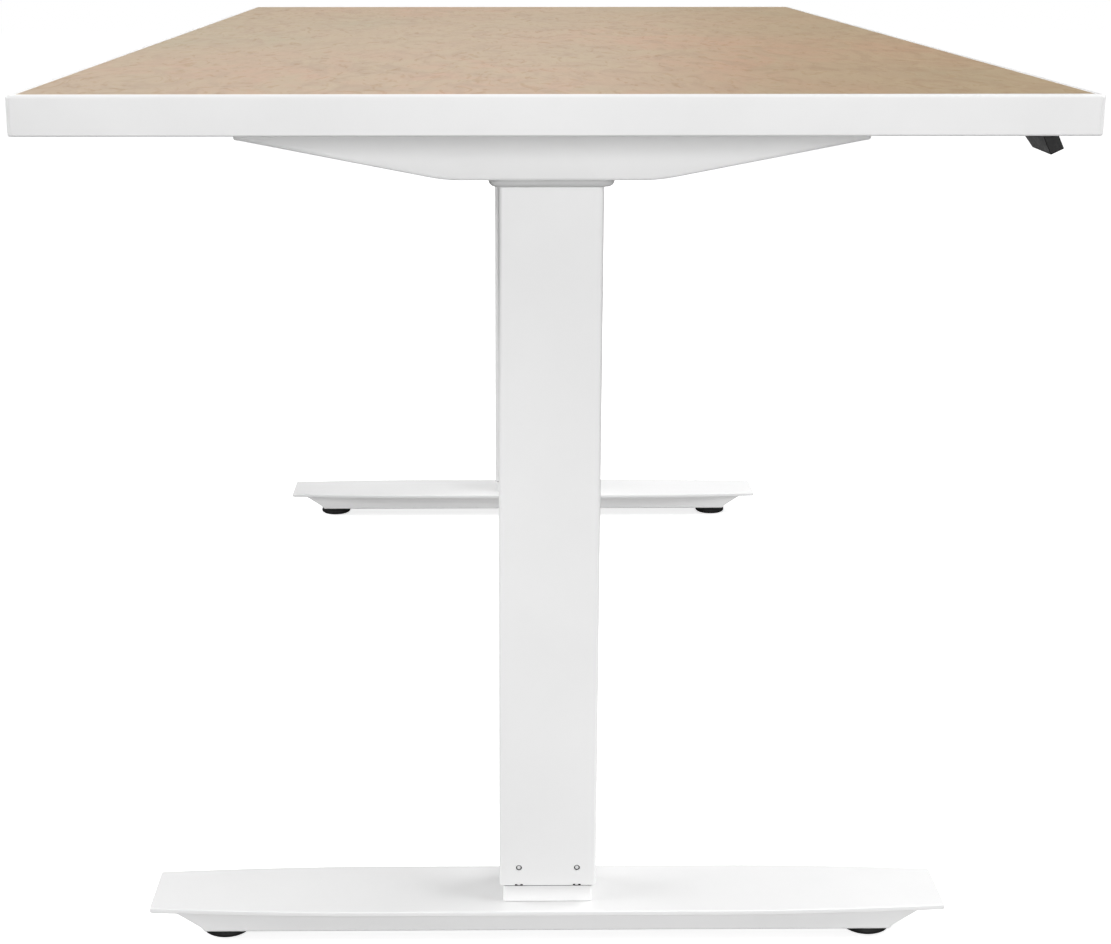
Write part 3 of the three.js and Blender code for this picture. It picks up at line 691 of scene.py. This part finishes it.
def add_wiper(side):
    """Rubber ring wiping the narrow tube, with a brim under the wide tube's end; its black is also painted
    shade in the notches.
    """
    low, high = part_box(f"outer_tube_{side}")
    inner_low, inner_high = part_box(f"inner_tube_{side}")
    x = (low.x + high.x) / 2
    slack = (high.x - low.x - inner_high.x + inner_low.x) / 2 - WIDE_WALL - WIPER_GAP
    brim = slack + WIPER_GAP + WIPER_BRIM
    section = (
        (WIPER_GAP, -WIPER_DROP),
        (brim - 0.2 * MM, -WIPER_DROP),
        (brim, -WIPER_DROP + 0.2 * MM),
        (brim, -CLIP_GAP),
        (slack, -CLIP_GAP),
        (slack, WIPER_RISE),
        (WIPER_GAP, WIPER_RISE),
    )
    width, depth = inner_high.x - inner_low.x, inner_high.y - inner_low.y
    ring = [
        rectangle((x, 0), width + 2 * i, depth + 2 * i, NARROW_CORNER + i, low.z + z) for i, z in section
    ]
    add_piece(f"wiper_{side}", TOP_BODY, "pad_rubber", *loft(ring, closed=True))


def add_glide_clips(side, sign):
    """The glides' clips: a button in each hole over a dark disc of painted shadow, and a hook in each notch.
    """
    low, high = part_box(f"outer_tube_{side}")
    x, half = (low.x + high.x) / 2, (high.x - low.x) / 2
    outline = ((0, 0), (1, 0), (1.4, 0.15), (1.55, 0.4), (1.55, 0.75), (0, 0.75))
    button = [(radius * MM, depth * MM) for radius, depth in outline]
    # Painted shadow: a dark disc behind each hole stands in for the shade in the gap round the button.
    shadow_disc_radius = CLIP_HOLE - CLIP_GAP
    seat = [(0, 0), (shadow_disc_radius, 0), (shadow_disc_radius, 0.35 * MM), (0, 0.35 * MM)]
    shadow_discs = []
    for face in (-1, 1):
        facing = "x" if face < 0 else "-x"
        near, far = sorted((x + face * (half - 1.4 * MM), x + face * (half - 0.3 * MM)))
        for row, way in ROWS:
            y, z = way * CLIP_Y, low.z + CLIP_RISE
            tag = f"{side}_{'inner' if face * sign < 0 else 'outer'}_{row}"
            shape = spun(button, (x + face * (half - 0.3 * MM), y, z), facing, 24)
            add_piece(f"glide_clip_{tag}", TOP_BODY, "white_edge_band", *shape)
            shadow_discs.append(spun(seat, (x + face * (half - 1.1 * MM), y, z), facing, 24))
            hook_low = (near, y - HOOK_HALF, low.z + 0.1 * MM)
            hook = soft_block(hook_low, (far, y + HOOK_HALF, low.z + 0.9 * MM), 0.3 * MM, 0.2 * MM, 2, 2)
            add_piece(f"glide_hook_{tag}", TOP_BODY, "white_edge_band", *hook)
    add_piece(f"clip_shadow_discs_{side}", TOP_BODY, "pad_rubber", *joined(*shadow_discs))


# ---------------------------------------------------------------- feet
FOOT_TIP, FOOT_STRAIGHT, FOOT_CORNER, FOOT_EDGE = 33.5 * MM, 150 * MM, 1.5 * MM, 0.9 * MM
BEAM_BOTTOM_END, BEAM_LIP_END, BEAM_LIP = 286 * MM, 288 * MM, 3.6 * MM


def foot_half_width(y, widest, end):
    """Half the foot's plan width at y: parallel in the middle, easing to the tip."""
    t = min(1.0, max(0.0, (abs(y) - FOOT_STRAIGHT) / (end - FOOT_STRAIGHT)))
    return FOOT_TIP + (widest - FOOT_TIP) * (1 - t) * (1 + t - 0.35 * t * t)


def foot_loop(x, widest, end, inset, z):
    """The cover plate's plan outline at height z, drawn in by inset all round."""
    last, corner = end - inset, FOOT_CORNER
    ys = [(last - corner) * (k / 32 - 1) for k in range(65)]
    side = [(foot_half_width(y, widest, end) - inset, y) for y in ys]
    tip = side[-1][0]
    turn = [(corner * (1 - math.cos(a)), corner * (math.sin(a) - 1)) for a in (0.4, 0.8, 1.2, 1.57)]
    end_right = [(tip - i, last + j) for i, j in turn]
    right = [(px, -py) for px, py in reversed(end_right)] + side + end_right
    left = [(-px, py) for px, py in reversed(right)]
    return [(x + px, py, z) for px, py in right + left]


def add_foot(side):
    base = f"base_{side}"
    low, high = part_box(f"foot_cover_{side}")
    x, widest = (low.x + high.x) / 2, (high.x - low.x) / 2
    profile = [(i, low.z + r) for i, r in quarter_round(FOOT_EDGE, 3)]
    profile += [(i, high.z + r) for i, r in quarter_round(FOOT_EDGE, 3, top=True)]
    loops = [foot_loop(x, widest, high.y, i, z) for i, z in profile]
    add_piece(f"foot_plate_{side}", base, "white_powder_coat", *loft(loops), [f"foot_cover_{side}"])
    low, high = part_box(f"foot_beam_{side}")
    half, soft = (high.x - low.x) / 2, 1.6 * MM
    ends = [(low.z + r, BEAM_BOTTOM_END + 0.3 * r - i, i) for i, r in quarter_round(soft, 5)]
    ends.append((low.z + BEAM_LIP, BEAM_LIP_END, 0))
    ends += [(high.z - 0.3 * MM, high.y - 0.4 * MM, 0), (high.z, high.y - 0.6 * MM, 0.3 * MM)]
    loops = [rectangle((x, 0), 2 * (half - i), 2 * reach, 1.2 * MM, z, 4) for z, reach, i in ends]
    node = f"foot_beam_{side}"
    beam = add_piece(f"foot_rail_{side}", base, "white_powder_coat", *loft(loops), [node])
    ways = []
    for row, _ in ROWS:
        bolt_low, bolt_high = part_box(f"foot_bolt_{row}_{side}")
        at = ((bolt_low.x + bolt_high.x) / 2, (bolt_low.y + bolt_high.y) / 2, low.z - 0.3 * MM)
        shape = spun(socket_head(6.5 * MM, at[2] - bolt_low.z, 4 * MM, bolt_high.z - at[2]), at, "-z")
        add_piece(f"foot_screw_{row}_{side}", base, "zinc_steel", *shape, [f"foot_bolt_{row}_{side}"])
        pad_low, pad_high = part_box(f"leveler_pad_{row}_{side}")
        for y in (at[1], (pad_low.y + pad_high.y) / 2):
            ways.append(spun([(4.3 * MM, -0.03), (4.3 * MM, 0.03)], (x, y, low.z), "z", 32))
    cut_with(beam, *ways)


def add_leveler(row, side):
    """Domed rubber-soled pad on a threaded stud."""
    body = f"leveler_{row}_{side}"
    low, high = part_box(f"leveler_pad_{row}_{side}")
    r, tall = (high.x - low.x) / 2, high.z - low.z
    place = ((low.x + high.x) / 2, (low.y + high.y) / 2, low.z)
    profile = [(0, 0)]
    for a in (0, 0.4, 0.8, 1.2, 1.57):
        profile.append((r - 3 * MM * (1 - math.sin(a)), 3 * MM * (1 - math.cos(a))))
    dome = ((0.6, 0.44), (2.2, 0.68), (5, 0.86), (9, 0.97), (13, 0.995))
    profile += [(r - inset * MM, tall * part) for inset, part in dome]
    profile += [(5 * MM, tall), (0, tall)]
    pad = spun(profile, place, "z", 64)
    add_piece(f"leveler_foot_{row}_{side}", body, "pad_rubber", *pad, [f"leveler_pad_{row}_{side}"])
    stud_low, stud_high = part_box(f"leveler_stud_{row}_{side}")
    pitch, crest, root = 1.25 * MM, 4 * MM, 3.4 * MM
    turns = int((stud_high.z - stud_low.z) / pitch)
    thread = [(0, 0), (root, 0)]
    for k in range(turns):
        thread += [(crest, (k + 0.4) * pitch), (crest, (k + 0.6) * pitch), (root, (k + 1) * pitch)]
    thread.append((0, turns * pitch))
    stud = spun(thread, (place[0], place[1], stud_low.z), "z", 28)
    add_piece(f"leveler_thread_{row}_{side}", body, "zinc_steel", *stud, [f"leveler_stud_{row}_{side}"])


# ---------------------------------------------------------------- under the top
def add_motor(side, sign):
    """Motor can with a front flange, rolled seams, an end bell and its three cover screws."""
    low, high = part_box(f"motor_{side}")
    r, length = (high.z - low.z) / 2, high.x - low.x
    start, axis = (high.x, "-x") if sign > 0 else (low.x, "x")
    steps = ((1.2, 0), (0, 1.2), (0, 6), (1.5, 7), (1.5, 84), (0.4, 85), (0.4, 88), (1.5, 89))
    profile = [(0, 0)] + [(r - inset * MM, at * MM) for inset, at in steps]
    bell = ((2, 8), (5, 3), (9, 1.2))
    profile += [(r - inset * MM, length - back * MM) for inset, back in bell]
    profile += [(9 * MM, length - 0.6 * MM), (8 * MM, length), (0, length)]
    place = (start, 0, (low.z + high.z) / 2)
    can = spun(profile, place, axis, 56)
    add_piece(f"motor_can_{side}", TOP_BODY, "motor_paint", *can, [f"motor_{side}"])
    heads = []
    for k in range(3):
        a = math.pi / 2 + 2 * math.pi * k / 3
        end = start - sign * (length - 2.4 * MM)
        at = (end, 15 * MM * math.cos(a), place[2] + 15 * MM * math.sin(a))
        heads.append(spun(socket_head(2.4 * MM, 1.8 * MM), at, axis, 24))
    add_piece(f"motor_screws_{side}", TOP_BODY, "zinc_steel", *joined(*heads))


FLANGE_THICK, FLANGE_HALF, FLANGE_DROP, FLANGE_RISE = 3 * MM, 26 * MM, 33 * MM, 5 * MM
FLANGE_SCREW_Y, LOCK_SCREWS = 19 * MM, (18 * MM, 52 * MM)  # the second from the rail's mouth


def add_rails():
    """Telescoping rails with softened edges, their end flanges, and the screws that lock them."""
    for row, _ in ROWS:
        refined(f"{row}_rail_inner", 0.8 * MM)
        for side, sign in SIDES:
            refined(f"{row}_rail_{side}", 0.9 * MM)
            low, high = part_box(f"{row}_rail_{side}")
            y, z = (low.y + high.y) / 2, (low.z + high.z) / 2
            outer, mouth = (high.x, low.x) if sign > 0 else (low.x, high.x)
            seat = outer - sign * FLANGE_THICK
            tag = f"{row}_{side}"
            plate_low = (min(seat, outer), y - FLANGE_HALF, high.z - FLANGE_DROP)
            plate_high = (max(seat, outer), y + FLANGE_HALF, high.z + FLANGE_RISE)
            flange = soft_block(plate_low, plate_high, 0.8 * MM, 0.8 * MM, 3, 3)
            add_piece(f"rail_flange_{tag}", TOP_BODY, "white_powder_coat", *flange)
            screws = []
            facing = "-x" if sign > 0 else "x"
            for dy in (-FLANGE_SCREW_Y, FLANGE_SCREW_Y):
                screws.append(spun(socket_head(4.5 * MM, 3 * MM), (seat, y + dy, z), facing, 36))
            for step in LOCK_SCREWS:
                at = (mouth + sign * step, y, low.z)
                screws.append(spun(socket_head(5 * MM, 3.2 * MM), at, "-z", 36))
            add_piece(f"rail_screws_{tag}", TOP_BODY, "zinc_steel", *joined(*screws))


SLOT_COUNT, SLOT_START, SLOT_STEP, SLOT_WIDTH, SLOT_DEPTH = 14, 55 * MM, 8 * MM, 3.2 * MM, 1.6 * MM
SLOT_ROWS = ((20 * MM, 46 * MM), (54 * MM, 80 * MM))
PLUGS = (
    ("motor_cable_left", -1, 170 * MM),
    ("handset_cable", -1, 130 * MM),
    ("motor_cable_right", 1, 180 * MM),
)
PLUG_HALF_Y, PLUG_HALF_Z, PLUG_OUT, PLUG_IN = 5.4 * MM, 4.2 * MM, 9 * MM, 8 * MM
BLADES = ((-7 * MM, -1.6 * MM), (0, 2.2 * MM), (7 * MM, -1.6 * MM))  # live, earth, neutral


def add_control_box():
    """Box with a cooling grille, its screws, the lead plugs, and the inlet's blades."""
    piece = refined("control_box", 1.2 * MM, 3)
    low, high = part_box("control_box")
    slots = []
    for k in range(SLOT_COUNT):
        x = low.x + SLOT_START + k * SLOT_STEP
        for y0, y1 in SLOT_ROWS:
            slot_low = (x, low.y + y0, low.z - 2 * MM)
            slot_high = (x + SLOT_WIDTH, low.y + y1, low.z + SLOT_DEPTH)
            slots.append(soft_block(slot_low, slot_high, 1.4 * MM, 0.3 * MM, 1, 3))
    cut_with(piece, *slots)
    screws = []
    for x in (low.x + 9 * MM, high.x - 28 * MM):
        for y in (low.y + 9 * MM, high.y - 9 * MM):
            screws.append(spun(socket_head(3 * MM, 1.2 * MM), (x, y, low.z + 0.1 * MM), "-z", 28))
    add_piece("control_box_screws", TOP_BODY, "zinc_steel", *joined(*screws))
    z = (low.z + high.z) / 2 + 1 * MM
    for lead, face, y in PLUGS:
        wall = low.x if face < 0 else high.x
        near, far = sorted((wall + face * PLUG_OUT, wall - face * PLUG_IN))
        plug_low = (near, y - PLUG_HALF_Y, z - PLUG_HALF_Z)
        plug_high = (far, y + PLUG_HALF_Y, z + PLUG_HALF_Z)
        shape = soft_block(plug_low, plug_high, 1.2 * MM, 1 * MM, 3, 4)
        add_piece(f"plug_of_{lead}", TOP_BODY, "cable_jacket", *shape)
    refined("power_inlet", 0.5 * MM)
    low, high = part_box("power_inlet")
    y, z = (low.y + high.y) / 2, (low.z + high.z) / 2
    blades = []
    for dy, dz in BLADES:
        blade_low = (high.x - 12 * MM, y + dy - 1 * MM, z + dz - 2 * MM)
        blade_high = (high.x - 4 * MM, y + dy + 1 * MM, z + dz + 2 * MM)
        blades.append(soft_block(blade_low, blade_high, 0.6 * MM, 0.5 * MM, 2, 3))
    add_piece("inlet_blades", TOP_BODY, "zinc_steel", *joined(*blades))


def add_paddle():
    """The paddle, its bracket and screws, and the pin with its turned ends."""
    refined("control_paddle", 0.7 * MM, 3)
    refined("paddle_bracket", 0.5 * MM, 3)
    low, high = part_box("paddle_bracket")
    screws = []
    for x in (low.x + 12 * MM, high.x - 12 * MM):
        at = (x, high.y - 9 * MM, high.z - 3.4 * MM)
        screws.append(spun(socket_head(3.4 * MM, 2 * MM), at, "-z", 32))
    add_piece("bracket_screws", TOP_BODY, "zinc_steel", *joined(*screws))
    low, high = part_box("paddle_pin")
    r, length = (high.z - low.z) / 2, high.x - low.x
    place = (low.x, (low.y + high.y) / 2, (low.z + high.z) / 2)
    chamfer = 0.4 * MM
    profile = [(0, 0), (r - chamfer, 0), (r, chamfer), (r, length - chamfer), (r - chamfer, length)]
    pin = spun(profile + [(0, length)], place, "x", 28)
    add_piece("hinge_pin", TOP_BODY, "zinc_steel", *pin, ["paddle_pin"])


def add_smooth_lead(node):
    """The lead's CAD tube, rounded and smoothed."""
    piece = refined(node, 0.1 * MM, 1, angle=80)
    piece.modifiers.remove(piece.modifiers["normals"])
    smooth = piece.modifiers.new("round", "SUBSURF")
    smooth.levels = smooth.render_levels = 1


def add_clip(name, x, y, heading, top, radius):
    """A saddle clip with its two screws, over a lead that runs at heading degrees under the top."""
    tab, foot, wall, deep = 8.5 * MM, 1.2 * MM, 1.1 * MM, 3.4 * MM
    inner = radius + 0.15 * MM
    outer = inner + wall
    arcs = []
    for r in (outer, inner):
        arc = [math.pi * (1 + k / 12) for k in range(13)]
        arcs.append([(r * math.cos(a), -deep + r * math.sin(a)) for a in arc])
    outline = [(-tab, 0), (-tab, -foot), (-outer, -foot), *arcs[0], (outer, -foot), (tab, -foot), (tab, 0)]
    outline += [(inner, 0), *reversed(arcs[1]), (-inner, 0)]
    turn = Matrix.Rotation(math.radians(heading), 3, "Z")

    def placed(along, across, z):
        point = turn @ Vector((along, across, 0))
        return (x + point.x, y + point.y, top + z)

    half = 3.2 * MM
    loops = [[placed(along, u, z) for u, z in outline] for along in (-half, half)]
    add_piece(name, TOP_BODY, "cable_jacket", *loft(loops))
    heads = []
    for side in (-1, 1):
        at = placed(0, side * (outer + tab) / 2, -foot)
        heads.append(spun(socket_head(1.5 * MM, 0.9 * MM), at, "-z", 20))
    add_piece(f"{name}_screws", TOP_BODY, "zinc_steel", *joined(*heads))


def nearest_on_lead(node, x):
    """Centre and heading of a lead where it crosses x, read from its CAD tube."""
    verts = [v.co for v in frame["nodes"][node].data.vertices]
    near = [v for v in verts if abs(v.x - x) < 9 * MM]
    ahead = [v for v in verts if abs(v.x - x - 25 * MM) < 9 * MM]
    here = sum(near, Vector()) / len(near)
    there = sum(ahead, Vector()) / len(ahead)
    return here, math.degrees(math.atan2(there.y - here.y, there.x - here.x))


def add_clips():
    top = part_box("desktop_backer")[0].z
    spots = (
        ("motor_cable_left", 2.5 * MM, (-0.28, -0.2)),
        ("motor_cable_right", 2.5 * MM, (0.352,)),
        ("handset_cable", 1.9 * MM, (-0.56, -0.42, -0.28)),
    )
    for node, radius, places in spots:
        for k, x in enumerate(places):
            here, heading = nearest_on_lead(node, x)
            add_clip(f"clip_{k}_{node}", here.x, here.y, heading, top, radius)


def dress_cad_nodes():
    """Every node that stays as the CAD made it gets its slot's material too."""
    for name, node in frame["nodes"].items():
        node.data.materials.clear()
        node.data.materials.append(MATERIALS[slot_of(name)])


add_camera()
add_floor()
add_world()
add_lights()
add_top()
for side, sign in SIDES:
    add_arm(side, sign)
    add_cap(side)
    add_column(side)
    add_wiper(side)
    add_glide_clips(side, sign)
    add_foot(side)
    add_motor(side, sign)
    refined(f"gearbox_{side}", 1.2 * MM)
    for row, _ in ROWS:
        add_leveler(row, side)
add_rails()
add_control_box()
add_paddle()
for lead in ("motor_cable_left", "motor_cable_right", "handset_cable"):
    add_smooth_lead(lead)
add_clips()
dress_cad_nodes()
